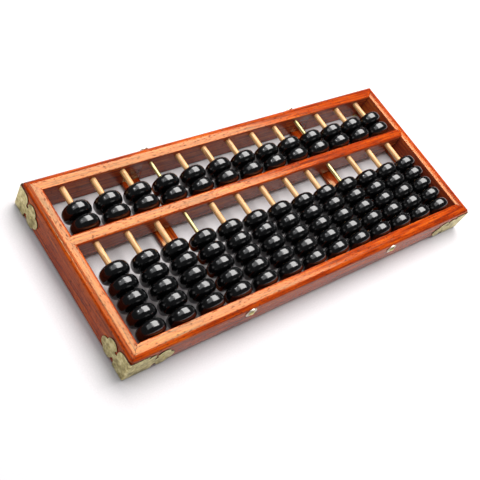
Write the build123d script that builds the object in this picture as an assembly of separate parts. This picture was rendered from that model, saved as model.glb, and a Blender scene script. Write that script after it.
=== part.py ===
from build123d import *
import math
import os

os.makedirs("parts", exist_ok=True)

# A desk abacus: a mitred wooden frame, a beam across it, thirteen rods, and beads that slide on
# them. Millimetres. X runs along the length, the user sits at -Y, +Z is up. The origin is the
# centre of the footprint, at the underside of the corner caps, on which the abacus stands.

# Frame
length = 338.0
depth = 140.0
rail_width = 9.8
rail_height = 24.0  # at the ridge of its crowned top
inner_height = 23.3  # the top slopes down from the ridge to the inner edge
arris_height = 21.4  # where a rail's outer face turns into its rounded shoulder
shoulder_width = 3.4
lower_round = 1.5
wood_base = 0.75  # height of the wood's underside, lifted by the caps' bottom flanges
joint_gap = 0.05  # between pieces that are glued or driven together

# Mitre tenons, one on each end of a side rail
tenon_width = 3.4
tenon_height = 10.0
tenon_above_base = 5.0
tenon_end_cover = 2.5  # wood left between the tenon's end and the long rail's outer face

# Beam between the two decks
beam_y = 18.5
beam_width = 8.6
beam_underside = 5.25  # above the wood's underside
beam_top = 23.7
beam_point = 4.3  # how far its pointed ends enter the side rails
beam_edge_round = 1.4

# Battens under the frame
batten_x = 84.0
batten_width = 14.4
batten_thickness = 2.7
batten_housing = 6.0  # how far each end is let into a long rail

# Columns
columns = 13
rod_pitch = 24.0
rod_height = 18.0  # axis above the wood's underside
bamboo_diameter = 4.3
bamboo_seat = 5.5  # length of rod inside each long rail
tie_diameter = 2.8
tie_columns = (4, 10)
washer_diameter = 9.0
washer_thickness = 0.8
rivet_diameter = 5.0
rivet_height = 1.3

# Beads
bead_radius = 10.4
bead_thickness = 11.15
bead_bore = 5.2
bead_rim_arc = 5.6
bead_shoulder_arc = 4.8
bead_gap = 0.1
lower_count = 5
upper_count = 2

# Corner caps, pressed from sheet brass
sheet = 0.7
cap_height = 20.4
front_wing_body = 20.6
side_wing_body = 11.8
wing_shoulder_round = 5.0
wing_foot_round = 3.0
neck_low = 4.6
neck_high = 13.0
neck_notch_round = 1.25
neck_notch_high = 0.9  # distance past the wing's body of the upper notch's centre
neck_notch_low = 1.6
# (distance past the wing's body, height, radius) of the three lobes at the end of each wing
lobes = ((6.2, 13.8, 5.2), (7.7, 5.5, 5.0), (10.9, 8.6, 5.0))
front_step_start = 14.6  # where the front wing's top edge steps down
front_step_height = 18.8
front_step_notch = 1.1
cap_corner_round = 1.6
flange_front = 16.0
flange_side = 12.0
flange_corner_round = 4.0

# Pins that hold the caps
pin_past_body = 7.4
pin_height = 9.4
pin_shank = 0.9
pin_length = 5.0
pin_head = 2.2
pin_head_height = 0.45

rod_z = wood_base + rod_height
inner_x = length / 2 - rail_width
inner_y = depth / 2 - rail_width
lower_deck_rear = beam_y - beam_width / 2
upper_deck_front = beam_y + beam_width / 2


def column_x(column):
    """X of a rod, column 1 at the left."""
    return (column - (columns + 1) / 2) * rod_pitch


def upright(sketch, height, base=0.0):
    """A plan outline raised into a solid."""
    return extrude(Plane.XY.offset(base) * sketch, height, dir=(0, 0, 1))


def along_y(diameter, start, end, x, z):
    """A round bar parallel to Y."""
    bar = Cylinder(diameter / 2, end - start, rotation=(90, 0, 0))
    return Pos(x, (start + end) / 2, z) * bar


def rail_section():
    """Section of a rail: outer face at zero, crowned top, rounded shoulder outside."""
    outline = [
        Line((lower_round, 0), (rail_width, 0)),
        Line((rail_width, 0), (rail_width, inner_height)),
        Line((rail_width, inner_height), (shoulder_width, rail_height)),
        TangentArc((shoulder_width, rail_height), (0, arris_height), tangent=(-1, 0)),
        Line((0, arris_height), (0, lower_round)),
        TangentArc((0, lower_round), (lower_round, 0), tangent=(0, -1)),
    ]
    return make_face(Curve() + outline)


def mitred_rail(run, outer, end_gap):
    """A rail along X, its outer face at y = -outer, its ends cut at 45 degrees."""
    plane = Plane(origin=(-run / 2, -outer, wood_base), x_dir=(0, 1, 0), z_dir=(1, 0, 0))
    bar = extrude(plane * rail_section(), run, dir=(1, 0, 0))
    tip = run / 2 - end_gap
    heel = tip - rail_width
    inner = rail_width - outer
    plan = make_face(Polyline((-tip, -outer), (tip, -outer), (heel, inner), (-heel, inner), close=True))
    return bar & upright(plan, 2 * rail_height)


def tenon(grow):
    """The front left tenon, or with grow its mortise."""
    start = -depth / 2 + tenon_end_cover - grow
    end = -depth / 2 + rail_width
    block = Box(tenon_width + 2 * grow, end - start, tenon_height + 2 * grow)
    middle_z = wood_base + tenon_above_base + tenon_height / 2
    return Pos(-length / 2 + rail_width / 2, (start + end) / 2, middle_z) * block


def beam_envelope(grow):
    """The beam's outline with its pointed ends, or with grow the space cut for it."""
    half = beam_width / 2 + grow
    point = inner_x + beam_point + grow
    corners = [(inner_x, -half), (point, 0), (inner_x, half)]
    corners += [(-inner_x, half), (-point, 0), (-inner_x, -half)]
    plan = Pos(0, beam_y) * make_face(Polyline(*corners, close=True))
    underside = wood_base + beam_underside - grow
    return upright(plan, beam_top - beam_underside + 2 * grow, underside)


def pin_places():
    """Point on the wood's outer face and outward direction of each cap pin."""
    x = length / 2 - front_wing_body - pin_past_body
    y = depth / 2 - side_wing_body - pin_past_body
    z = wood_base + pin_height
    places = []
    for side in (-1, 1):
        for end in (-1, 1):
            places.append(((side * x, end * depth / 2, z), (0, end, 0)))
            places.append(((side * length / 2, end * y, z), (side, 0, 0)))
    return places


def pin_holes():
    """Holes for the cap pins' shanks."""
    radius = pin_shank / 2 + joint_gap
    deep = pin_length + joint_gap
    return [
        Plane(origin=point, z_dir=out) * Cylinder(radius, 2 * deep)
        for point, out in pin_places()
    ]


def rod_holes():
    """Blind holes for the bamboo rods and through holes for the tie rods."""
    holes = []
    for column in range(1, columns + 1):
        if column in tie_columns:
            diameter = tie_diameter
            reach = depth
        else:
            diameter = bamboo_diameter
            reach = inner_y + bamboo_seat + 2 * joint_gap
        bore = diameter + 2 * joint_gap
        holes.append(along_y(bore, -reach, reach, column_x(column), rod_z))
    return holes


def batten(side, grow=0.0):
    """A batten across the underside, or with grow the housing for it."""
    run = 2 * (inner_y + batten_housing + grow)
    block = Box(batten_width + 2 * grow, run, batten_thickness + grow)
    return Pos(side * batten_x, 0, wood_base + (batten_thickness + grow) / 2) * block


def long_rail(turn):
    """Front rail, or turned half round the rear rail."""
    rail = Rot(0, 0, turn) * mitred_rail(length, depth / 2, 0)
    mortise = tenon(joint_gap)
    for plane in (Plane.YZ, Plane.XZ):
        mortise += mirror(mortise, about=plane)
    housings = [batten(side, joint_gap) for side in (-1, 1)]
    return rail - mortise - rod_holes() - housings - pin_holes()


def side_rail(turn):
    """Left rail, or turned the other way the right rail, with its two tenons."""
    side = -1 if turn < 0 else 1
    front_tenon = tenon(0)
    if side > 0:
        front_tenon = mirror(front_tenon, about=Plane.YZ)
    rail = Rot(0, 0, turn) * mitred_rail(depth, length / 2, joint_gap)
    rail += front_tenon
    rail += mirror(front_tenon, about=Plane.XZ)
    return rail - beam_envelope(joint_gap) - pin_holes()


def beam():
    """The divider between the decks, its upper edges rounded, drilled for every rod."""
    section = Rectangle(beam_width, 2 * beam_top)
    section = fillet(section.vertices().group_by(Axis.Y)[-1], beam_edge_round)
    plane = Plane(origin=(-length / 2, beam_y, wood_base), x_dir=(0, 1, 0), z_dir=(1, 0, 0))
    rounded = extrude(plane * section, length, dir=(1, 0, 0))
    return (beam_envelope(0) & rounded) - rod_holes()


def bamboo_rod(column):
    """A bamboo rod from rail to rail."""
    reach = inner_y + bamboo_seat
    return along_y(bamboo_diameter, -reach, reach, column_x(column), rod_z)


def washer_face():
    """Y of the outer face of the rear washers."""
    return depth / 2 + joint_gap + washer_thickness


def tie_rod(column):
    """A metal tie rod whose two ends are peened into domes over the washers."""
    shoulder = washer_face() + joint_gap
    tip = shoulder + rivet_height
    rod = tie_diameter / 2
    head = rivet_diameter / 2
    outline = [
        TangentArc((0, -tip), (head, -shoulder), tangent=(1, 0)),
        Line((head, -shoulder), (rod, -shoulder)),
        Line((rod, -shoulder), (rod, shoulder)),
        Line((rod, shoulder), (head, shoulder)),
        TangentArc((0, tip), (head, shoulder), tangent=(1, 0)),
        Line((0, tip), (0, -tip)),
    ]
    return Pos(column_x(column), 0, rod_z) * revolve(make_face(Curve() + outline), Axis.Y)


def washers():
    """A washer under each peened end."""
    bore = tie_diameter + 2 * joint_gap
    near = depth / 2 + joint_gap
    group = []
    for column in tie_columns:
        x = column_x(column)
        disc = along_y(washer_diameter, near, washer_face(), x, rod_z)
        disc -= along_y(bore, 0, depth, x, rod_z)
        group.append(disc)
        group.append(mirror(disc, about=Plane.XZ))
    return Compound(children=group)


def bead():
    """A bead on the Y axis: two flat faces, rounded shoulders and a blunt rim."""
    half = bead_thickness / 2
    bore = bead_bore / 2
    rim_centre = bead_radius - bead_rim_arc
    drop = half - bead_shoulder_arc
    spread = bead_rim_arc - bead_shoulder_arc
    face_edge = rim_centre + math.sqrt(spread**2 - drop**2)
    # where the shoulder and rim arcs touch, on the line through both centres
    stretch = bead_rim_arc / spread
    touch = (rim_centre + (face_edge - rim_centre) * stretch, drop * stretch)
    outline = [
        Line((bore, -half), (bore, half)),
        Line((bore, half), (face_edge, half)),
        TangentArc((face_edge, half), touch, tangent=(1, 0)),
        ThreePointArc(touch, (bead_radius, 0), (touch[0], -touch[1])),
        TangentArc((face_edge, -half), (touch[0], -touch[1]), tangent=(1, 0)),
        Line((face_edge, -half), (bore, -half)),
    ]
    return revolve(make_face(Curve() + outline), Axis.Y)


def bead_stack(column, first_edge, count):
    """Beads side by side on one rod, the first one against the edge of its deck."""
    one = bead()
    step = bead_thickness + bead_gap
    first = first_edge + bead_gap + bead_thickness / 2
    group = []
    for place in range(count):
        group.append(Pos(column_x(column), first + place * step, rod_z) * one)
    return Compound(children=group)


def wing(body):
    """Outline of a cap wing: a body, a neck between two notches, and a three-lobed end."""
    block = Pos(body / 2 - 1, cap_height / 2) * Rectangle(body + 2, cap_height)
    far = block.vertices().group_by(Axis.X)[-1].sort_by(Axis.Y)
    block = fillet(far[0], wing_foot_round)
    block = fillet(block.vertices().sort_by_distance((body, cap_height))[0], wing_shoulder_round)
    neck = Pos(body + 2, (neck_low + neck_high) / 2) * Rectangle(8, neck_high - neck_low)
    outline = block + neck
    for past, height, radius in lobes:
        outline += Pos(body + past, height) * Circle(radius)
    outline -= Pos(body + neck_notch_high, neck_high) * Circle(neck_notch_round)
    outline -= Pos(body + neck_notch_low, neck_low) * Circle(neck_notch_round)
    return outline


def front_wing_step():
    """What the front wing's top edge loses past its step."""
    run = front_wing_body - front_step_start + 1
    drop = cap_height - front_step_height + 1
    step = Pos(front_step_start, front_step_height) * Rectangle(run, drop, align=(Align.MIN, Align.MIN))
    return step + Pos(front_step_start, front_step_height) * Circle(front_step_notch)


def cap_block(grow):
    """The wooden corner at the front left, swollen by grow on its outer faces."""
    reach = front_wing_body + 20
    block = Box(reach, reach, 2 * cap_height, align=(Align.MIN, Align.MIN, Align.MIN))
    block = Pos(-length / 2 - grow, -depth / 2 - grow, wood_base - grow) * block
    foot = block.faces().sort_by(Axis.Z)[0].edges()
    return fillet([foot.sort_by(Axis.Y)[0], foot.sort_by(Axis.X)[0]], lower_round + grow)


def corner_cap():
    """The front left cap: a pressed sheet with two wings and a flange under the corner."""
    shell = cap_block(joint_gap + sheet) - cap_block(joint_gap)
    hem = lower_round + sheet + joint_gap
    outer = joint_gap + sheet
    corner = (-length / 2, -depth / 2, wood_base)
    front_plane = Plane(origin=corner, x_dir=(1, 0, 0), z_dir=(0, -1, 0))
    side_plane = Plane(origin=corner, x_dir=(0, 1, 0), z_dir=(1, 0, 0))
    front_outline = wing(front_wing_body) - front_wing_step()
    front = extrude(front_plane * front_outline, outer, dir=(0, -1, 0))
    side = extrude(side_plane * wing(side_wing_body), outer, dir=(-1, 0, 0))
    front_hem = Box(front_wing_body + outer, hem, hem, align=(Align.MIN, Align.MIN, Align.MIN))
    side_hem = Box(hem, side_wing_body + outer, hem, align=(Align.MIN, Align.MIN, Align.MIN))
    start = Pos(-length / 2 - outer, -depth / 2 - outer, 0)
    flange = Rectangle(flange_front, flange_side, align=(Align.MIN, Align.MIN))
    flange = fillet(flange.vertices().sort_by_distance((flange_front, flange_side))[0], flange_corner_round)
    plate = start * upright(flange, wood_base)
    keep = front + side + start * front_hem + start * side_hem + plate
    plan = Rectangle(length / 2, depth / 2, align=(Align.MIN, Align.MIN))
    plan = fillet(plan.vertices().sort_by_distance((0, 0))[0], cap_corner_round)
    return (shell & keep & start * upright(plan, 2 * cap_height)) - pin_holes()


def pins():
    """Domed pins that hold the caps to the rails."""
    cap_face = 2 * joint_gap + sheet
    half = [
        Line((0, -pin_length), (pin_shank / 2, -pin_length)),
        Line((pin_shank / 2, -pin_length), (pin_shank / 2, cap_face)),
        Line((pin_shank / 2, cap_face), (pin_head / 2, cap_face)),
        TangentArc((0, cap_face + pin_head_height), (pin_head / 2, cap_face), tangent=(1, 0)),
        Line((0, cap_face + pin_head_height), (0, -pin_length)),
    ]
    pin = revolve(Plane.XZ * make_face(Curve() + half), Axis.Z)
    return Compound(children=[Plane(origin=point, z_dir=out) * pin for point, out in pin_places()])


nodes = {
    "front_rail": long_rail(0),
    "rear_rail": long_rail(180),
    "left_rail": side_rail(-90),
    "right_rail": side_rail(90),
    "beam": beam(),
    "left_batten": batten(-1),
    "right_batten": batten(1),
    "tie_rod_washers": washers(),
    "corner_pins": pins(),
}

front_left = corner_cap()
rear_left = mirror(front_left, about=Plane.XZ)
nodes["front_left_cap"] = front_left
nodes["rear_left_cap"] = rear_left
nodes["front_right_cap"] = mirror(front_left, about=Plane.YZ)
nodes["rear_right_cap"] = mirror(rear_left, about=Plane.YZ)

for column in range(1, columns + 1):
    if column in tie_columns:
        nodes[f"tie_rod_{column:02d}"] = tie_rod(column)
    else:
        nodes[f"bamboo_rod_{column:02d}"] = bamboo_rod(column)
    nodes[f"lower_beads_{column:02d}"] = bead_stack(column, -inner_y, lower_count)
    nodes[f"upper_beads_{column:02d}"] = bead_stack(column, upper_deck_front, upper_count)

for name, shape in nodes.items():
    export_step(shape, f"parts/{name}.step")
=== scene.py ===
import math
import random

import bmesh
import bpy
from mathutils import Matrix, Vector, noise


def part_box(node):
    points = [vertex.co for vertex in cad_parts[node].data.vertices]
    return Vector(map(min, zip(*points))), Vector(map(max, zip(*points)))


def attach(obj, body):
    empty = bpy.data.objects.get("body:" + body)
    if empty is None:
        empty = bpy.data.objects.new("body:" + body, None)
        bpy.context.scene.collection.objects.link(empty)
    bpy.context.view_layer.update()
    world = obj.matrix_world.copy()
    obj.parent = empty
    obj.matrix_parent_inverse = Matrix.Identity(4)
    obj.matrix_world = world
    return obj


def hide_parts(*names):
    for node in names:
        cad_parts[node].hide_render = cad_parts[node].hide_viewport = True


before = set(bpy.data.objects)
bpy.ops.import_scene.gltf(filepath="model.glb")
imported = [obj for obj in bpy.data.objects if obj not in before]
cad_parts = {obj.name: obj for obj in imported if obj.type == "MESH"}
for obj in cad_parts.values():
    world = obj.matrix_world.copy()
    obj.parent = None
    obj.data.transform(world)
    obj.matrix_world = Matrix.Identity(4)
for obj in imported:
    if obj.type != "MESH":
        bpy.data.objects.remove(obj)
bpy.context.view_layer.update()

MM = 0.001

# Places and sizes read from the frame
front_low, front_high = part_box("front_rail")
beam_low, beam_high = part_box("beam")
half_length = front_high.x
half_depth = -front_low.y
wood_base = front_low.z
rail_width = front_high.y - front_low.y
rail_height = front_high.z - front_low.z
inner_x = half_length - rail_width
beam_y = (beam_low.y + beam_high.y) / 2
beam_half = (beam_high.y - beam_low.y) / 2
beam_point = beam_high.x - inner_x

# Rails
RAIL_STATIONS = 96  # along each rail and the beam
ARRIS_DROP = 2.55 * MM  # from the ridge down to the outer face
SHOULDER = 4.2 * MM  # from the outer face in to the crease at the ridge
SHOULDER_START = 9.0  # slope in degrees where the shoulder leaves the ridge
SHOULDER_END = 65.0  # and where it meets the outer face
RIDGE_WEAR = 0.06 * MM  # the ridge is this much below the rail's full height
INNER_FALL = 0.7 * MM  # the top slopes this much from the ridge to the inner edge
INNER_FALL_POWER = 1.25  # 1 would make that slope straight, more makes it crowned
FOOT_ROUND = 1.5 * MM
EDGE_ROUND = 0.45 * MM
MITRE_GAP = 0.11 * MM
MITRE_SOFTENING = 0.16 * MM  # the edges of a mitred end are drawn in this much
RAIL_SWAY = 0.09 * MM  # most that a rail's face wanders sideways
RAIL_LIFT = 0.05 * MM  # and its top, up or down
CORNER_ROUND = 3.4 * MM  # plan radius of the wood's corners above the caps
CORNER_FROM = 20.2 * MM  # height above the wood's underside where that rounding starts
CORNER_FULL = 22.0 * MM  # and where it is complete

# Beam and battens
BEAM_TOP_ROUND = 1.7 * MM
BEAM_CROWN = 0.08 * MM
BEAM_LIFT = 0.05 * MM
BEAM_FIT = 0.065 * MM  # room round the beam's ends in the side rails
NOTCH_OPENING = 3 * MM  # the notches for them are cut this far past the beam's top
BATTEN_FIT = 0.08 * MM  # room round a batten in its housing
BATTEN_ROUND = 0.35 * MM
BATTEN_SWAY = 0.08 * MM
BATTEN_STATIONS = 48
HOUSING_ROUND = 0.1 * MM
HOUSING_EXTRA = 2 * MM  # the housings are cut this far past the battens' undersides

# Bamboo rods
ROD_STATIONS = 60
ROD_TURNS = 28
ROD_BEND = 0.12 * MM
ROD_UNEVENNESS = 0.03  # share of the radius

# Beads
LOWER_BEADS = 5
UPPER_BEADS = 2
BEAD_POWER = 2.75  # exponent of the superellipse that the bead's side follows
BEAD_BORE = 2.6 * MM  # radius
BEAD_BORE_SOFTENING = 0.35 * MM
BEAD_GAP = 0.1 * MM
BEAD_SPREAD = 0.006  # share by which turned beads differ in size
BEAD_TURNS = 64

# Tie rods and washers
RIVET_HEIGHT = 1.3 * MM
RIVET_SOFTENING = 0.1 * MM
RIVET_TIP = 0.02 * MM  # radius of the flat at the tip of a rivet's dome
TIE_RADIUS = 1.4 * MM
TIE_TURNS = 32
WASHER_THICKNESS = 0.8 * MM
WASHER_SOFTENING = 0.22 * MM
WASHER_FIT = 0.05 * MM
WASHER_TURNS = 48

# Corner caps
CAP_VOXEL = 0.24 * MM
CAP_WELD = 0.002 * MM  # joins the corners that the CAD mesh repeats on neighbouring faces
CAP_NEAR = 1.5 * MM  # a face this near a cap's outer side, or its underside, belongs to it
ENGRAVING = 0.15 * MM  # depth of the pressed pattern
WAVE_RATE = 1900
WAVE_SWING = 2.2
SWING_RATE = 620
PETAL_RATE_ALONG = 1500
PETAL_RATE_UP = 1300
CAP_FOOT = 1.2 * MM  # no pattern below this height
CAP_EDGE_SHARE = 0.62  # faces turned further than this from a wing's plane are its cut edge

# Studio
FLOOR_DROP = 0.05 * MM  # keeps the floor clear of the caps' feet
FLOOR_HALF = 4.0
FLOOR_GLOW = 0.8  # strength of the glow once it is complete
GLOW_START = 0.45  # distance from the origin at which it starts
GLOW_FULL = 1.5  # and at which it is complete
CAMERA_PLACE = (-0.4004, -0.1989, 0.461)
CAMERA_HEADING = 63.19  # degrees, from +Y towards +X
CAMERA_DIP = 48.0
CAMERA_ROLL = 34.8
LENS = 63.9  # millimetres, as is the sensor's width
SENSOR = 36.0

random.seed(13)


# ---------------------------------------------------------------- mesh helpers

def arc(centre, radius, first, last, count):
    """Points of a circular arc, angles in degrees."""
    points = []
    for step in range(count + 1):
        angle = math.radians(first + (last - first) * step / count)
        points.append((centre[0] + radius * math.cos(angle), centre[1] + radius * math.sin(angle)))
    return points


def parabola(start, control, end, count):
    """Points of the parabola that leaves start and reaches end, both aimed at the control point."""
    points = []
    for step in range(count + 1):
        t = step / count
        pairs = zip(start, control, end)
        points.append(tuple((1 - t)**2 * a + 2 * t * (1 - t) * b + t * t * c for a, b, c in pairs))
    return points


def piece_from(mesh_data, name, material, smooth_angle=40):
    """A finished object from a bmesh, shaded smooth except at sharp edges."""
    bmesh.ops.recalc_face_normals(mesh_data, faces=mesh_data.faces)
    for face in mesh_data.faces:
        face.smooth = True
    for edge in mesh_data.edges:
        if len(edge.link_faces) == 2:
            edge.smooth = edge.calc_face_angle() < math.radians(smooth_angle)
    mesh = bpy.data.meshes.new(name)
    mesh_data.to_mesh(mesh)
    mesh_data.free()
    mesh.materials.append(material)
    obj = bpy.data.objects.new(name, mesh)
    bpy.context.scene.collection.objects.link(obj)
    return obj


def loft(mesh_data, rings):
    """Faces between rings of equal numbers of points, and over the first and last ring."""
    made = [[mesh_data.verts.new(point) for point in ring] for ring in rings]
    count = len(made[0])
    for near, far in zip(made, made[1:]):
        for i in range(count):
            j = (i + 1) % count
            mesh_data.faces.new((near[i], near[j], far[j], far[i]))
    mesh_data.faces.new(made[0])
    mesh_data.faces.new(list(reversed(made[-1])))


def lathe(mesh_data, profile, place, turns, closed_loop):
    """Turns a profile of (radius, along) points about the Y axis through place."""
    rings = []
    for step in range(turns):
        angle = 2 * math.pi * step / turns
        ring = []
        for radius, along in profile:
            offset = Vector((radius * math.cos(angle), along, radius * math.sin(angle)))
            ring.append(mesh_data.verts.new(place + offset))
        rings.append(ring)
    last = len(profile) if closed_loop else len(profile) - 1
    for step in range(turns):
        near = rings[step]
        far = rings[(step + 1) % turns]
        for i in range(last):
            j = (i + 1) % len(profile)
            mesh_data.faces.new((near[i], near[j], far[j], far[i]))
    return rings


def cut(obj, cutter):
    """Takes the cutter's shape out of a piece, and removes the cutter."""
    modifier = obj.modifiers.new("cut", "BOOLEAN")
    modifier.object = cutter
    modifier.operation = "DIFFERENCE"
    modifier.solver = "EXACT"
    bake_modifiers(obj)
    bpy.data.objects.remove(cutter)


def bake_modifiers(obj):
    """Puts the modifiers' result in the piece's own mesh."""
    graph = bpy.context.evaluated_depsgraph_get()
    mesh = bpy.data.meshes.new_from_object(obj.evaluated_get(graph), depsgraph=graph)
    obj.modifiers.clear()
    obj.data = mesh


def settle(obj, body, slot, *nodes):
    """Ties a piece to its body and hides the CAD nodes it stands for; the finish passed as slot is not
    used.
    """
    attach(obj, body)
    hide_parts(*nodes)


# ---------------------------------------------------------------- materials

class Nodes:
    """Short calls for building one material's node tree."""

    def __init__(self, name):
        self.material = bpy.data.materials.new(name)
        self.material.use_nodes = True
        self.tree = self.material.node_tree
        self.shader = self.tree.nodes["Principled BSDF"]

    def add(self, kind, **values):
        node = self.tree.nodes.new(kind)
        for key, value in values.items():
            if hasattr(node, key):
                setattr(node, key, value)
            else:
                node.inputs[key.replace("_", " ")].default_value = value
        return node

    def join(self, source, target):
        self.tree.links.new(source, target)

    def stretched(self, scale):
        """The object's coordinates in metres times a scale along each axis."""
        source = self.add("ShaderNodeTexCoord")
        mapping = self.add("ShaderNodeMapping")
        mapping.inputs["Scale"].default_value = scale
        self.join(source.outputs["Object"], mapping.inputs["Vector"])
        return mapping.outputs["Vector"]

    def clouds(self, scale, detail=4.0, roughness=0.55, distortion=0.0):
        """Noise, with the number of its cells per metre along each axis."""
        node = self.add("ShaderNodeTexNoise", Scale=1.0, Detail=detail, Roughness=roughness)
        node.inputs["Distortion"].default_value = distortion
        self.join(self.stretched(scale), node.inputs["Vector"])
        return node.outputs["Fac"]

    def ramp(self, value, stops):
        """Colours by value: stops of (position, colour)."""
        node = self.add("ShaderNodeValToRGB")
        elements = node.color_ramp.elements
        while len(elements) < len(stops):
            elements.new(0.5)
        for element, (position, colour) in zip(elements, stops):
            element.position = position
            element.color = (*colour, 1)
        self.join(value, node.inputs["Fac"])
        return node.outputs["Color"]

    def feed(self, value, socket):
        """Gives a socket a number or colour, or joins another node's output to it."""
        if isinstance(value, bpy.types.NodeSocket):
            self.join(value, socket)
        else:
            socket.default_value = value

    def remap(self, value, low, high, to_low, to_high):
        """The value, moved from one range to another and held inside it."""
        node = self.add("ShaderNodeMapRange")
        keys = ("From Min", "From Max", "To Min", "To Max")
        for key, number in zip(keys, (low, high, to_low, to_high)):
            node.inputs[key].default_value = number
        self.join(value, node.inputs["Value"])
        return node.outputs["Result"]

    def mix(self, factor, first, second, blend="MIX"):
        """Two colours mixed; the colour sockets of a mix node are its seventh and eighth."""
        node = self.add("ShaderNodeMix", data_type="RGBA", blend_type=blend)
        for value, index in ((factor, 0), (first, 6), (second, 7)):
            self.feed(value, node.inputs[index])
        return node.outputs[2]

    def maths(self, operation, first, second):
        node = self.add("ShaderNodeMath", operation=operation)
        for value, index in ((first, 0), (second, 1)):
            self.feed(value, node.inputs[index])
        return node.outputs[0]

    def upright_faces(self):
        """Two masks: all upright faces, and those inside the frame; the wood gives both less gloss and
        paints shade into the inside ones.
        """
        place = self.add("ShaderNodeSeparateXYZ")
        self.join(self.stretched((1, 1, 1)), place.inputs[0])
        facing = self.add("ShaderNodeSeparateXYZ")
        self.join(self.add("ShaderNodeNewGeometry").outputs["Normal"], facing.inputs[0])
        slope = self.maths("ABSOLUTE", facing.outputs["Z"], 0.0)
        upright = self.maths("LESS_THAN", slope, 0.6)
        inside = upright
        for axis, limit in (("X", inner_x), ("Y", half_depth - rail_width)):
            distance = self.maths("ABSOLUTE", place.outputs[axis], 0.0)
            within = self.maths("LESS_THAN", distance, limit + 0.4 * MM)
            inside = self.maths("MULTIPLY", inside, within)
        return upright, inside

    def bump(self, height, distance, strength):
        node = self.add("ShaderNodeBump", Distance=distance, Strength=strength)
        self.join(height, node.inputs["Height"])
        self.join(node.outputs["Normal"], self.shader.inputs["Normal"])
        return node

    def set(self, **values):
        for key, value in values.items():
            self.feed(value, self.shader.inputs[key.replace("_", " ")])


def along_grain(grain, across, along):
    """A scale for each axis: across the fibres, and along them on the grain's axis."""
    scale = [across] * 3
    scale[grain] = along
    return scale


def varnished_wood(name, grain, depth=1.0):
    """Orange-red varnish over open-pored hardwood; grain is the fibres' axis, a low depth darkens."""
    n = Nodes(name)
    fibres = n.clouds(along_grain(grain, 620, 26), detail=5, roughness=0.62, distortion=0.35)
    patches = n.clouds(along_grain(grain, 75, 24), detail=3)
    pores = n.clouds(along_grain(grain, 1250, 420), detail=2, roughness=0.5)
    wear = n.clouds((330, 330, 330), detail=4, roughness=0.6)
    colour = n.ramp(fibres, (
        (0.36, (0.155, 0.012, 0.001)),
        (0.46, (0.300, 0.030, 0.001)),
        (0.55, (0.410, 0.052, 0.002)),
        (0.66, (0.520, 0.098, 0.004)),
    ))
    dark = (0.78 * depth, 0.60 * depth, 0.55 * depth)
    light = (depth, depth, depth)
    colour = n.mix(1.0, colour, n.ramp(patches, ((0.36, dark), (0.60, light))), "MULTIPLY")
    pore_mask = n.remap(pores, 0.60, 0.66, 0.0, 0.8)
    colour = n.mix(pore_mask, colour, (0.055, 0.009, 0.004, 1))
    upright, inside = n.upright_faces()
    # Painted shade: the inner faces of the frame are greyed and lose a little red, standing in for the
    # shade among the rails and beads.
    colour = n.mix(n.maths("MULTIPLY", inside, 0.2), colour, (0.16, 0.075, 0.065, 1))
    colour = n.mix(inside, colour, n.mix(1.0, colour, (0.92, 1.0, 1.0, 1), "MULTIPLY"))
    upright_gloss = n.remap(upright, 0.0, 1.0, 1.0, 0.55)
    inside_gloss = n.remap(inside, 0.0, 1.0, 1.0, 0.36)
    pore_gloss = n.remap(pore_mask, 0.0, 0.8, 0.66, 0.15)
    polish = n.maths("MULTIPLY", n.maths("MULTIPLY", upright_gloss, inside_gloss), pore_gloss)
    n.set(Base_Color=colour, IOR=1.5, Specular_Tint=(1.0, 0.86, 0.42, 1))
    n.set(Specular_IOR_Level=polish)
    n.set(Roughness=n.remap(wear, 0.35, 0.68, 0.12, 0.22))
    height = n.maths("SUBTRACT", n.maths("MULTIPLY", fibres, 0.6), pore_mask)
    n.bump(height, 0.06 * MM, 0.6)
    return n.material


def black_lacquer():
    """Deep black gloss lacquer with the faint ripple of a dipped coat."""
    n = Nodes("black_lacquer")
    ripple = n.clouds((520, 520, 520), detail=3, roughness=0.6)
    smudge = n.clouds((150, 150, 150), detail=4)
    colour = n.ramp(smudge, ((0.35, (0.0010, 0.0011, 0.0013)), (0.7, (0.0030, 0.0030, 0.0032))))
    n.set(Base_Color=colour, Specular_IOR_Level=0.0, Roughness=0.5)
    n.set(Coat_Weight=1.0, Coat_IOR=1.72, Coat_Roughness=n.remap(smudge, 0.3, 0.75, 0.09, 0.17))
    relief = n.bump(ripple, 0.22 * MM, 0.45)
    n.join(relief.outputs["Normal"], n.shader.inputs["Coat Normal"])
    return n.material


def bamboo():
    """Straw-coloured bamboo with long fibres and a few brown streaks."""
    n = Nodes("bamboo")
    fibres = n.clouds((2200, 45, 2200), detail=4, roughness=0.65)
    streaks = n.clouds((420, 60, 420), detail=2, distortion=0.6)
    colour = n.ramp(fibres, (
        (0.30, (0.360, 0.160, 0.052)),
        (0.48, (0.600, 0.325, 0.125)),
        (0.70, (0.740, 0.450, 0.200)),
    ))
    streak_mask = n.remap(streaks, 0.58, 0.70, 0.0, 0.75)
    colour = n.mix(streak_mask, colour, (0.20, 0.085, 0.025, 1))
    n.set(Base_Color=colour, Roughness=0.38, IOR=1.45, Coat_Weight=0.25, Coat_Roughness=0.25)
    n.bump(fibres, 0.06 * MM, 0.7)
    return n.material


def drawn_brass():
    """Pale drawn brass with fine lines along its length."""
    n = Nodes("drawn_brass")
    lines = n.clouds((2400, 60, 2400), detail=2)
    tarnish = n.clouds((180, 60, 180), detail=4)
    colour = n.ramp(tarnish, ((0.35, (0.54, 0.46, 0.19)), (0.65, (0.70, 0.62, 0.31))))
    n.set(Base_Color=colour, Metallic=1.0, Roughness=n.remap(lines, 0.3, 0.7, 0.46, 0.54))
    n.bump(lines, 0.02 * MM, 0.1)
    return n.material


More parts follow.
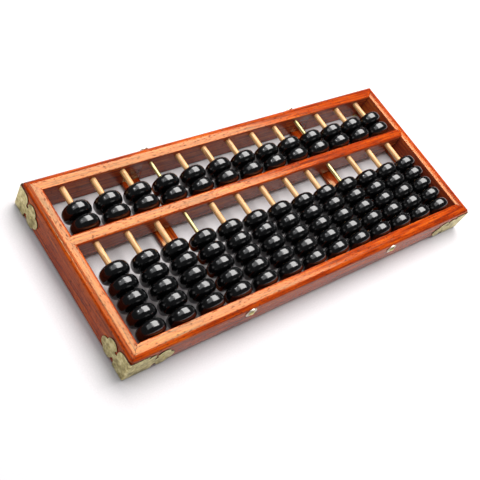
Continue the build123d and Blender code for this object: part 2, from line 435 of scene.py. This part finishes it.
def turned_metal():
    """Pale grey-gold metal with faint turning marks and small dents."""
    n = Nodes("turned_metal")
    marks = n.clouds((1500, 1500, 1500), detail=3)
    dull = n.clouds((500, 500, 500), detail=4)
    colour = n.ramp(dull, ((0.3, (0.50, 0.44, 0.33)), (0.7, (0.80, 0.75, 0.64))))
    n.set(Base_Color=colour, Metallic=1.0, Roughness=n.remap(dull, 0.3, 0.7, 0.26, 0.48))
    n.bump(marks, 0.04 * MM, 0.6)
    return n.material


def corner_brass():
    """Olive-gold sheet brass, brushed, with dark patina in the hollows and rubbed high spots."""
    n = Nodes("corner_brass")
    brushed = n.clouds((2600, 2600, 260), detail=4, roughness=0.7)
    scratches = n.clouds((700, 700, 4200), detail=3, roughness=0.7)
    mottle = n.clouds((260, 260, 260), detail=5, roughness=0.65)
    colour = n.ramp(mottle, (
        (0.36, (0.29, 0.235, 0.095)),
        (0.50, (0.53, 0.455, 0.21)),
        (0.62, (0.72, 0.65, 0.37)),
    ))
    edges = n.add("ShaderNodeNewGeometry").outputs["Pointiness"]
    hollows = n.remap(edges, 0.45, 0.495, 0.8, 0.0)
    colour = n.mix(hollows, colour, (0.075, 0.055, 0.025, 1))
    rubbed = n.remap(scratches, 0.60, 0.72, 0.0, 0.45)
    colour = n.mix(rubbed, colour, (0.80, 0.76, 0.55, 1))
    n.set(Base_Color=colour, Metallic=0.9, Roughness=n.remap(mottle, 0.3, 0.7, 0.36, 0.58))
    height = n.maths("ADD", brushed, n.maths("MULTIPLY", scratches, 0.5))
    n.bump(height, 0.05 * MM, 0.7)
    return n.material


def painted_edge_shade():
    """Painted shade: brown-black on the cut edges of the caps, standing in for the shadow line round
    them.
    """
    n = Nodes("painted_edge_shade")
    edge_shade_mottle = n.clouds((900, 900, 900), detail=3)
    colour = n.ramp(edge_shade_mottle, ((0.35, (0.018, 0.008, 0.004)), (0.70, (0.085, 0.045, 0.018))))
    n.set(Base_Color=colour, Metallic=0.3, Roughness=0.55)
    n.bump(edge_shade_mottle, 0.05 * MM, 0.6)
    return n.material


def floor_paper():
    """Plain pale studio floor, which glows towards white far from the object."""
    n = Nodes("floor_paper")
    distance = n.add("ShaderNodeVectorMath", operation="LENGTH")
    n.join(n.stretched((1, 1, 1)), distance.inputs[0])
    n.set(Emission_Color=(1.0, 0.99, 1.0, 1))
    n.set(Emission_Strength=n.remap(distance.outputs["Value"], GLOW_START, GLOW_FULL, 0, FLOOR_GLOW))
    tooth = n.clouds((900, 900, 900), detail=3)
    colour = n.ramp(tooth, ((0.3, (0.56, 0.54, 0.55)), (0.7, (0.60, 0.58, 0.59))))
    n.set(Base_Color=colour, Roughness=0.8)
    n.bump(tooth, 0.03 * MM, 0.3)
    return n.material


wood_along = varnished_wood("varnished_wood_long", 0)
wood_across = varnished_wood("varnished_wood_short", 1)
wood_under = varnished_wood("varnished_wood_battens", 1, 0.9)
lacquer = black_lacquer()
bamboo_skin = bamboo()
brass_wire = drawn_brass()
washer_metal = turned_metal()
cap_brass = corner_brass()
cap_edge = painted_edge_shade()


# ---------------------------------------------------------------- wooden frame

def rail_section():
    """Section of a rail as (distance in from its outer face, height): a crowned, worn top."""
    ridge = (SHOULDER, rail_height - RIDGE_WEAR)
    inner = rail_height - INNER_FALL
    near_slope = math.tan(math.radians(SHOULDER_START))
    far_slope = math.tan(math.radians(SHOULDER_END))
    foot = rail_height - ARRIS_DROP
    bend = (ridge[1] - near_slope * SHOULDER - foot) / (far_slope - near_slope)
    points = arc((FOOT_ROUND, FOOT_ROUND), FOOT_ROUND, 180, 270, 5)
    points += arc((rail_width - EDGE_ROUND, EDGE_ROUND), EDGE_ROUND, 270, 360, 3)
    points += arc((rail_width - EDGE_ROUND, inner - EDGE_ROUND), EDGE_ROUND, 0, 84, 4)
    for share in (0.75, 0.5, 0.25):
        inset = ridge[0] + (rail_width - ridge[0]) * share
        points.append((inset, ridge[1] - (ridge[1] - inner) * share**INNER_FALL_POWER))
    points += parabola(ridge, (bend, foot + far_slope * bend), (0, foot), 8)
    return points


def soften_corner(point, run, outer):
    """Pulls a point near a rail's outer top corner in to the corner's rounded plan."""
    share = (point.z - wood_base - CORNER_FROM) / (CORNER_FULL - CORNER_FROM)
    centre = Vector((math.copysign(run / 2 - CORNER_ROUND, point.x), CORNER_ROUND - outer, point.z))
    beyond = point - centre
    outside = beyond.x * point.x > 0 and beyond.y < 0 and beyond.length > CORNER_ROUND
    if share <= 0 or not outside:
        return point
    return point.lerp(centre + beyond.normalized() * CORNER_ROUND, min(1.0, share))


def mitred_rail(name, run, outer, turn, material):
    """A rail of length run along X, its outer face at -outer, then turned to its side of the frame."""
    section = rail_section()
    rings = []
    for step in range(RAIL_STATIONS + 1):
        # Stations crowd towards the mitres, where the corners are rounded.
        t = math.sin(math.pi * (step / RAIL_STATIONS - 0.5))
        ring = []
        for inset, height in section:
            x = t * (run / 2 - inset - MITRE_GAP)
            sway = noise.noise(Vector((x * 22, outer * 90 + turn, 0))) * RAIL_SWAY
            lift = noise.noise(Vector((x * 30, inset * 200, outer * 70 + turn))) * RAIL_LIFT
            top = height / rail_height
            if inset <= EDGE_ROUND:
                sway = 0
            ring.append(Vector((x, -outer + inset + sway * top, wood_base + height + lift * top)))
        rings.append(ring)
    for ring in (rings[0], rings[-1]):
        centre = sum(ring, Vector()) / len(ring)
        for i, point in enumerate(ring):
            ring[i] = point + (centre - point).normalized() * MITRE_SOFTENING
    rings = [[soften_corner(point, run, outer) for point in ring] for ring in rings]
    mesh_data = bmesh.new()
    loft(mesh_data, rings)
    turned = Matrix.Rotation(math.radians(turn), 3, "Z")
    bmesh.ops.rotate(mesh_data, verts=mesh_data.verts, matrix=turned)
    return piece_from(mesh_data, name, material, smooth_angle=50)


def beam_section():
    """Section of the beam as (distance from its middle, height), rounded on both upper edges."""
    width = beam_high.y - beam_low.y
    height = beam_high.z - beam_low.z
    half = width / 2
    top = BEAM_TOP_ROUND
    points = [(0.0, 0.0)]
    points += arc((half - EDGE_ROUND, EDGE_ROUND), EDGE_ROUND, 270, 360, 3)
    points += arc((half - top, height - top), top, 0, 90, 6)
    points.append((0.0, height + BEAM_CROWN))
    points += arc((-half + top, height - top), top, 90, 180, 6)
    points += arc((-half + EDGE_ROUND, EDGE_ROUND), EDGE_ROUND, 180, 270, 3)
    return points


def beam_piece(name, material, grow=0.0, notch=False):
    """The beam with pointed ends, or the shape cut out of the side rails for it."""
    section = beam_section()
    rings = []
    for step in range(RAIL_STATIONS + 1):
        t = -1 + 2 * step / RAIL_STATIONS
        ring = []
        for offset, height in section:
            wide = offset * (1 + grow / beam_half)
            reach = inner_x + grow + beam_point * (1 - abs(offset) / beam_half)
            if notch:
                x = t * reach
                # The underside fits the beam's, and the top is open above the rail.
                z = beam_low.z + (-grow if height < beam_half else height + NOTCH_OPENING)
            else:
                x = t * (reach - MITRE_GAP)
                lift = noise.noise(Vector((x * 25, offset * 150, 3))) * BEAM_LIFT
                z = beam_low.z + height + lift
            ring.append(Vector((x, beam_y + wide, z)))
        rings.append(ring)
    mesh_data = bmesh.new()
    loft(mesh_data, rings)
    return piece_from(mesh_data, name, material, smooth_angle=50)


def slat(name, low, high, material, rounding, sway=0.0):
    """A sawn slat along Y with rounded long edges, its faces swaying a little."""
    section = arc((high.x - rounding, high.z - rounding), rounding, 0, 90, 3)
    section += arc((low.x + rounding, high.z - rounding), rounding, 90, 180, 3)
    section += arc((low.x + rounding, low.z + rounding), rounding, 180, 270, 3)
    section += arc((high.x - rounding, low.z + rounding), rounding, 270, 360, 3)
    rings = []
    for step in range(BATTEN_STATIONS + 1):
        y = low.y + (high.y - low.y) * step / BATTEN_STATIONS
        ring = []
        for x, z in section:
            shift = abs(noise.noise(Vector((x * 60, y * 25, z * 60))) * sway)
            side = math.copysign(1, x - low.x - rounding)
            ring.append(Vector((x - shift * side, y, z - shift)))
        rings.append(ring)
    mesh_data = bmesh.new()
    loft(mesh_data, rings)
    return piece_from(mesh_data, name, material, smooth_angle=35)


def build_frame():
    """The four rails, the beam let into the side rails, and the battens let into the long ones."""
    rails = {
        "front_rail": mitred_rail("front_rail_wood", 2 * half_length, half_depth, 0, wood_along),
        "rear_rail": mitred_rail("rear_rail_wood", 2 * half_length, half_depth, 180, wood_along),
        "left_rail": mitred_rail("left_rail_wood", 2 * half_depth, half_length, -90, wood_across),
        "right_rail": mitred_rail("right_rail_wood", 2 * half_depth, half_length, 90, wood_across),
    }
    for side in ("left_rail", "right_rail"):
        cut(rails[side], beam_piece("beam_notch", wood_along, BEAM_FIT, notch=True))
    fit = Vector((BATTEN_FIT, BATTEN_FIT, BATTEN_FIT))
    for side in ("left_batten", "right_batten"):
        low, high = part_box(side)
        room_low = Vector((low.x, low.y, low.z - HOUSING_EXTRA)) - fit
        for rail in ("front_rail", "rear_rail"):
            cut(rails[rail], slat("housing", room_low, high + fit, wood_along, HOUSING_ROUND))
        plank = slat(side + "_wood", low, high, wood_under, BATTEN_ROUND, BATTEN_SWAY)
        settle(plank, "frame", "red_lacquered_hardwood", side)
    for node, rail in rails.items():
        settle(rail, "frame", "red_lacquered_hardwood", node)
    settle(beam_piece("beam_wood", wood_along), "frame", "red_lacquered_hardwood", "beam")


# ---------------------------------------------------------------- rods and washers

def build_bamboo(node):
    """A bamboo rod, a little crooked and uneven; each rod differs by its place."""
    low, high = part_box(node)
    middle = (low + high) / 2
    radius = (high.x - low.x) / 2
    seed = middle.x * 40
    rings = []
    for step in range(ROD_STATIONS + 1):
        y = low.y + (high.y - low.y) * step / ROD_STATIONS
        bend = noise.noise(Vector((seed, y * 14, 0))) * ROD_BEND
        ring = []
        for turn in range(ROD_TURNS):
            angle = 2 * math.pi * turn / ROD_TURNS
            out, up = math.cos(angle), math.sin(angle)
            uneven = noise.noise(Vector((out * 2, up * 2, y * 60 + seed)))
            grown = radius * (1 + ROD_UNEVENNESS * uneven)
            ring.append(Vector((middle.x + bend + grown * out, y, middle.z + grown * up)))
        rings.append(ring)
    mesh_data = bmesh.new()
    loft(mesh_data, rings)
    stick = piece_from(mesh_data, node + "_stick", bamboo_skin, smooth_angle=60)
    settle(stick, "frame", "bamboo", node)


def build_tie_rod(node):
    """A tie rod with a peened dome at each end."""
    low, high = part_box(node)
    middle = (low + high) / 2
    head = (high.x - low.x) / 2
    half = (high.y - low.y) / 2
    shoulder = half - RIVET_HEIGHT
    dome = (head**2 + RIVET_HEIGHT**2) / (2 * RIVET_HEIGHT)
    sweep = math.asin(head / dome)
    end = [(RIVET_TIP, half)]
    for step in range(1, 8):
        angle = sweep * step / 8
        end.append((dome * math.sin(angle), half - dome * (1 - math.cos(angle))))
    end.append((head, shoulder + RIVET_SOFTENING))
    end.append((head - RIVET_SOFTENING, shoulder))
    shaft = [(TIE_RADIUS, shoulder * share / 12) for share in range(12, -13, -1)]
    profile = end + shaft + [(radius, -along) for radius, along in reversed(end)]
    mesh_data = bmesh.new()
    rings = lathe(mesh_data, profile, Vector((middle.x, 0, middle.z)), TIE_TURNS, False)
    mesh_data.faces.new([ring[0] for ring in rings])
    mesh_data.faces.new([ring[-1] for ring in reversed(rings)])
    rod = piece_from(mesh_data, node + "_wire", brass_wire, smooth_angle=50)
    settle(rod, "frame", "tie_rod_brass", node)


def build_washers():
    """Four washers, one outside the frame at each end of each tie rod."""
    low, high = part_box("tie_rod_washers")
    tie_low, tie_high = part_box("tie_rod_10")
    x = (tie_low.x + tie_high.x) / 2
    z = (low.z + high.z) / 2
    radius = (high.z - low.z) / 2
    half = WASHER_THICKNESS / 2
    soft = WASHER_SOFTENING
    bore = TIE_RADIUS + WASHER_FIT
    profile = [(bore, -half), (bore, half)]
    profile += arc((radius - soft, half - soft), soft, 90, 0, 4)
    profile += arc((radius - soft, -half + soft), soft, 0, -90, 4)
    mesh_data = bmesh.new()
    for side in (-1, 1):
        for end in (-1, 1):
            y = end * (high.y - half)
            lathe(mesh_data, profile, Vector((side * x, y, z)), WASHER_TURNS, True)
    washers = piece_from(mesh_data, "washer_set", washer_metal)
    settle(washers, "frame", "washer_steel", "tie_rod_washers")


# ---------------------------------------------------------------- corner caps

def engraving_depth(along, height):
    """Depth of the pressed pattern at a place on a wing: waves, with petals between them."""
    # The rates are in radians per metre.
    wave = math.sin(height * WAVE_RATE + WAVE_SWING * math.sin(along * SWING_RATE)) * 0.5 + 0.5
    petals = math.sin(along * PETAL_RATE_ALONG) * math.cos(height * PETAL_RATE_UP)
    return max(0.0, wave - 0.55) * 1.6 + max(0.0, petals - 0.35)


def outward_share(centre, normal):
    """How squarely a face of a cap looks out of its wing's plane; always 1 on the foot."""
    if centre.z < CAP_NEAR:
        return 1.0
    past_end = abs(centre.x) > half_length - CAP_NEAR
    past_front = abs(centre.y) > half_depth - CAP_NEAR
    if past_end and past_front:
        return math.hypot(normal.x, normal.y)
    return abs(normal.x) if past_end else abs(normal.y)


def softened_sheet(node):
    """The cap's CAD shape as a fine even mesh with softened edges."""
    mesh_data = bmesh.new()
    mesh_data.from_mesh(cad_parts[node].data)
    bmesh.ops.remove_doubles(mesh_data, verts=mesh_data.verts, dist=CAP_WELD)
    cap = piece_from(mesh_data, node + "_sheet", cap_brass)
    remesh = cap.modifiers.new("fine", "REMESH")
    remesh.mode = "VOXEL"
    remesh.voxel_size = CAP_VOXEL
    soften = cap.modifiers.new("soften", "SMOOTH")
    soften.iterations = 3
    soften.factor = 0.5
    bake_modifiers(cap)
    return cap


def press_pattern(mesh):
    """Sinks the pressed pattern into the outer faces of both wings."""
    # The normals are copied first, because each move makes Blender work all of them out again.
    normals = [vert.normal.copy() for vert in mesh.vertices]
    outer_face = 0.45 * MM
    corner = 0.5 * MM
    for vert, normal in zip(mesh.vertices, normals):
        x, y, z = abs(vert.co.x), abs(vert.co.y), vert.co.z
        if normal.z < -0.5 or z < CAP_FOOT:
            continue
        if y > half_depth + outer_face and x < half_length - corner:
            depth = engraving_depth(half_length - x, z)
        elif x > half_length + outer_face and y < half_depth - corner:
            depth = engraving_depth(half_depth - y, z)
        else:
            continue
        vert.co -= normal * depth * ENGRAVING


def build_cap(node):
    """A corner cap: patterned sheet brass, its cut edges dark with painted shade."""
    cap = softened_sheet(node)
    mesh = cap.data
    press_pattern(mesh)
    mesh.materials.clear()
    mesh.materials.append(cap_brass)
    mesh.materials.append(cap_edge)
    for polygon in mesh.polygons:
        polygon.use_smooth = True
        # The cut edges take the painted shade, a dark line standing in for the shadow round each cap.
        if outward_share(polygon.center, polygon.normal) < CAP_EDGE_SHARE:
            polygon.material_index = 1
    settle(cap, "frame", "corner_brass", node)


# ---------------------------------------------------------------- beads

def bead_profile(radius, half):
    """Closed outline of a bead's section, from the bore round the rim and back."""
    points = []
    steps = 22
    start = (BEAD_BORE + BEAD_BORE_SOFTENING) / radius
    first = math.acos(start ** (BEAD_POWER / 2))
    for step in range(-steps, steps + 1):
        angle = first * step / steps
        out = radius * math.cos(angle) ** (2 / BEAD_POWER)
        along = half * math.copysign(abs(math.sin(angle)) ** (2 / BEAD_POWER), angle)
        points.append((out, along))
    edge = abs(points[0][1])
    points.append((BEAD_BORE, edge - BEAD_BORE_SOFTENING))
    points.append((BEAD_BORE, -edge + BEAD_BORE_SOFTENING))
    return points


def build_beads(node, count):
    """The beads of one deck on one rod, as one piece; each bead's size differs slightly."""
    low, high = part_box(node)
    middle = (low + high) / 2
    thickness = (high.y - low.y - (count - 1) * BEAD_GAP) / count
    radius = (high.x - low.x) / 2
    mesh_data = bmesh.new()
    for place in range(count):
        y = low.y + thickness / 2 + place * (thickness + BEAD_GAP)
        slim = 1 - BEAD_SPREAD * random.random()
        profile = bead_profile(radius * slim, thickness / 2 * slim)
        lathe(mesh_data, profile, Vector((middle.x, y, middle.z)), BEAD_TURNS, True)
    beads = piece_from(mesh_data, node + "_lacquered", lacquer, smooth_angle=50)
    settle(beads, node, "black_lacquered_wood", node)


def build_all():
    """Every piece in turn; the pins keep their CAD shape and only get a better material."""
    build_frame()
    build_washers()
    for node in sorted(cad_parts):
        if node.startswith("bamboo_rod"):
            build_bamboo(node)
        elif node.startswith("tie_rod") and node != "tie_rod_washers":
            build_tie_rod(node)
        elif node.endswith("_cap"):
            build_cap(node)
        elif node.startswith("lower_beads"):
            build_beads(node, LOWER_BEADS)
        elif node.startswith("upper_beads"):
            build_beads(node, UPPER_BEADS)
    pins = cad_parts["corner_pins"]
    pins.data.materials.clear()
    pins.data.materials.append(brass_wire)


# ---------------------------------------------------------------- studio

def floor():
    """A plain level sheet under the object, far wider than it."""
    mesh_data = bmesh.new()
    bmesh.ops.create_grid(mesh_data, x_segments=8, y_segments=8, size=FLOOR_HALF)
    bmesh.ops.translate(mesh_data, verts=mesh_data.verts, vec=(0, 0, -FLOOR_DROP))
    plane = piece_from(mesh_data, "studio_floor", floor_paper())


def area_light(name, shape, place, size_x, size_y, power, colour):
    """A lamp facing straight down."""
    lamp = bpy.data.lights.new(name, "AREA")
    lamp.shape = shape
    lamp.size = size_x
    lamp.size_y = size_y
    lamp.energy = power
    lamp.color = colour
    obj = bpy.data.objects.new(name, lamp)
    obj.location = place
    bpy.context.scene.collection.objects.link(obj)
    return obj


def panel(name, low, high, height, radiance, colour):
    """A level rectangle of light between two corners."""
    wide = high[0] - low[0]
    deep = high[1] - low[1]
    place = ((low[0] + high[0]) / 2, (low[1] + high[1]) / 2, height)
    area_light(name, "RECTANGLE", place, wide, deep, radiance * math.pi * wide * deep, colour)


def lamps():
    """A large softbox overhead, its dim spill beside it, and one small lamp for a second glint."""
    # The softbox's far edge sets where the rails' tops stop shining.
    panel("softbox", (-0.08, -0.26), (0.90, 1.08), 1.0, 7.8, (1.0, 0.985, 0.97))
    panel("spill", (-0.95, -0.10), (-0.08, 0.75), 1.0, 1.3, (0.97, 0.985, 1.0))
    small = area_light("small_lamp", "DISK", (-0.68, 0.48, 0.99), 0.07, 0.07, 0.5, (1, 1, 1))
    small.rotation_euler = (-small.location).to_track_quat("-Z", "Y").to_euler()


def surroundings():
    """Soft fill light; glossy surfaces see a darker room than it, and the camera a pale wall."""
    fill, seen_in_gloss, seen_by_camera = 0.45, 0.07, 0.9
    world = bpy.data.worlds.new("studio")
    world.use_nodes = True
    tree = world.node_tree
    background = tree.nodes["Background"]
    background.inputs["Color"].default_value = (0.95, 0.97, 1.0, 1)
    path = tree.nodes.new("ShaderNodeLightPath")
    gloss = tree.nodes.new("ShaderNodeMix")
    tree.links.new(path.outputs["Is Glossy Ray"], gloss.inputs["Factor"])
    gloss.inputs["A"].default_value = fill
    gloss.inputs["B"].default_value = seen_in_gloss
    direct = tree.nodes.new("ShaderNodeMix")
    tree.links.new(path.outputs["Is Camera Ray"], direct.inputs["Factor"])
    tree.links.new(gloss.outputs["Result"], direct.inputs["A"])
    direct.inputs["B"].default_value = seen_by_camera
    tree.links.new(direct.outputs["Result"], background.inputs["Strength"])
    bpy.context.scene.world = world


def camera():
    """Looks down from the front left, rolled so that the long rails climb to the right."""
    heading = math.radians(CAMERA_HEADING)
    dip = math.radians(CAMERA_DIP)
    roll = math.radians(CAMERA_ROLL)
    ahead = math.cos(dip)
    forward = Vector((math.sin(heading) * ahead, math.cos(heading) * ahead, -math.sin(dip)))
    level_right = forward.cross(Vector((0, 0, 1))).normalized()
    level_up = level_right.cross(forward)
    right = level_right * math.cos(roll) + level_up * math.sin(roll)
    up = level_up * math.cos(roll) - level_right * math.sin(roll)
    lens = bpy.data.cameras.new("camera")
    lens.sensor_width = SENSOR
    lens.lens = LENS
    lens.clip_start = 0.01
    obj = bpy.data.objects.new("camera", lens)
    turn = Matrix((right, up, -forward)).transposed().to_4x4()
    obj.matrix_world = Matrix.Translation(CAMERA_PLACE) @ turn
    bpy.context.scene.collection.objects.link(obj)
    bpy.context.scene.camera = obj


build_all()
floor()
lamps()
surroundings()
camera()
bpy.context.scene.view_settings.view_transform = "Standard"
